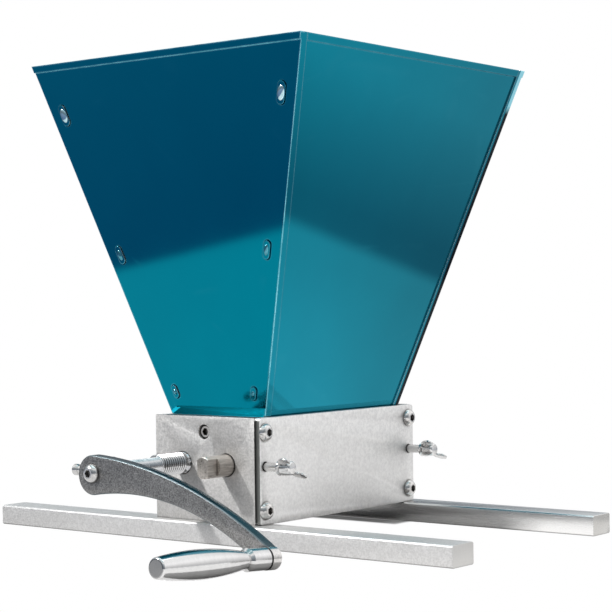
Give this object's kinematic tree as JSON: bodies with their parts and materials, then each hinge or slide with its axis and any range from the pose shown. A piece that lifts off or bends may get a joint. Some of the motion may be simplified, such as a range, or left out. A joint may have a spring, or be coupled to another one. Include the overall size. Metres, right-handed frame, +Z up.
{
  "type": "grain mill",
  "caption": "Hand-cranked roller grain mill: tapered blue sheet hopper over a plated roller housing on cross rails, with eccentric gap adjusters and a bowed crank with a turning grip.",
  "frame": {"origin": "on the resting plane under the rails, midway between the two rails and under the middle of the roller housing", "axes": "+Z up, +Y along the rollers away from the crank, +X across the rollers towards the gap adjusters and wing screws"},
  "size_m": [0.342, 0.3463, 0.282],
  "materials": {
    "satin_aluminium": "fine brushed satin",
    "bar_aluminium": "mill-finish drawn bar",
    "bright_steel": "bright plated",
    "bronze": "plain bearing bronze",
    "adjuster_steel": "turned, warm grey",
    "roller_steel": "cut flutes, oiled",
    "shaft_steel": "turned bright",
    "arm_steel": "mottled grey, smooth",
    "black_nylon": "matt black",
    "polished_aluminium": "turned and polished",
    "blue_sheet": "glossy blue protective film over sheet metal"
  },
  "bodies": {
    "frame": {"front_end_plate": "satin_aluminium", "rear_end_plate": "satin_aluminium", "left_side_plate": "satin_aluminium", "right_side_plate": "satin_aluminium", "left_side_screws": "bright_steel", "right_side_screws": "bright_steel", "front_rail": "bar_aluminium", "rear_rail": "bar_aluminium", "rail_screws": "bright_steel", "front_drive_bush": "bronze", "rear_drive_bush": "bronze", "hopper_front_panel": "blue_sheet", "hopper_rear_panel": "blue_sheet", "hopper_left_panel": "blue_sheet", "hopper_right_panel": "blue_sheet", "hopper_screws": "bright_steel", "hopper_nuts": "bright_steel"},
    "drive": {"drive_roller": "roller_steel", "drive_shaft": "shaft_steel", "crank_hub": "shaft_steel", "crank_set_screw": "bright_steel", "crank_arm": "arm_steel", "crank_bolt": "bright_steel", "grip_boss": "bright_steel", "grip_spindle": "shaft_steel", "grip_washer": "black_nylon"},
    "grip": {"hand_grip": "polished_aluminium"},
    "front_adjuster": {"front_adjuster": "adjuster_steel"},
    "rear_adjuster": {"rear_adjuster": "adjuster_steel"},
    "idler": {"idler_roller": "roller_steel", "idler_shaft": "shaft_steel"},
    "front_wing": {"front_wing_screw": "bright_steel"},
    "rear_wing": {"rear_wing_screw": "bright_steel"}
  },
  "joints": [
    {"name": "crank_turn", "type": "hinge", "parent": "frame", "child": "drive", "pos_m": [-0.01875, 0, 0.0453], "axis": [0, 1, 0], "continuous": true},
    {"name": "grip_spin", "type": "hinge", "parent": "drive", "child": "grip", "pos_m": [0.10525, -0.19092, 0.01068], "axis": [0, 0.9979, -0.0645], "continuous": true},
    {"name": "front_adjuster_turn", "type": "hinge", "parent": "frame", "child": "front_adjuster", "pos_m": [0.01475, -0.071, 0.0453], "axis": [0, 1, 0], "range_deg": [-70, 70]},
    {"name": "rear_adjuster_turn", "type": "hinge", "parent": "frame", "child": "rear_adjuster", "pos_m": [0.01475, 0.071, 0.0453], "axis": [0, 1, 0], "range_deg": [-70, 70]},
    {"name": "idler_spin", "type": "hinge", "parent": "front_adjuster", "child": "idler", "pos_m": [0.01475, 0, 0.0443], "axis": [0, 1, 0], "continuous": true},
    {"name": "front_wing_turn", "type": "hinge", "parent": "frame", "child": "front_wing", "pos_m": [0.05, -0.071, 0.0453], "axis": [1, 0, 0], "range_deg": [0, 360]},
    {"name": "rear_wing_turn", "type": "hinge", "parent": "frame", "child": "rear_wing", "pos_m": [0.05, 0.071, 0.0453], "axis": [1, 0, 0], "range_deg": [0, 360]}
  ],
  "couplings": [
    {"joint": "rear_adjuster_turn", "follows": "front_adjuster_turn", "ratio": 1}
  ]
}
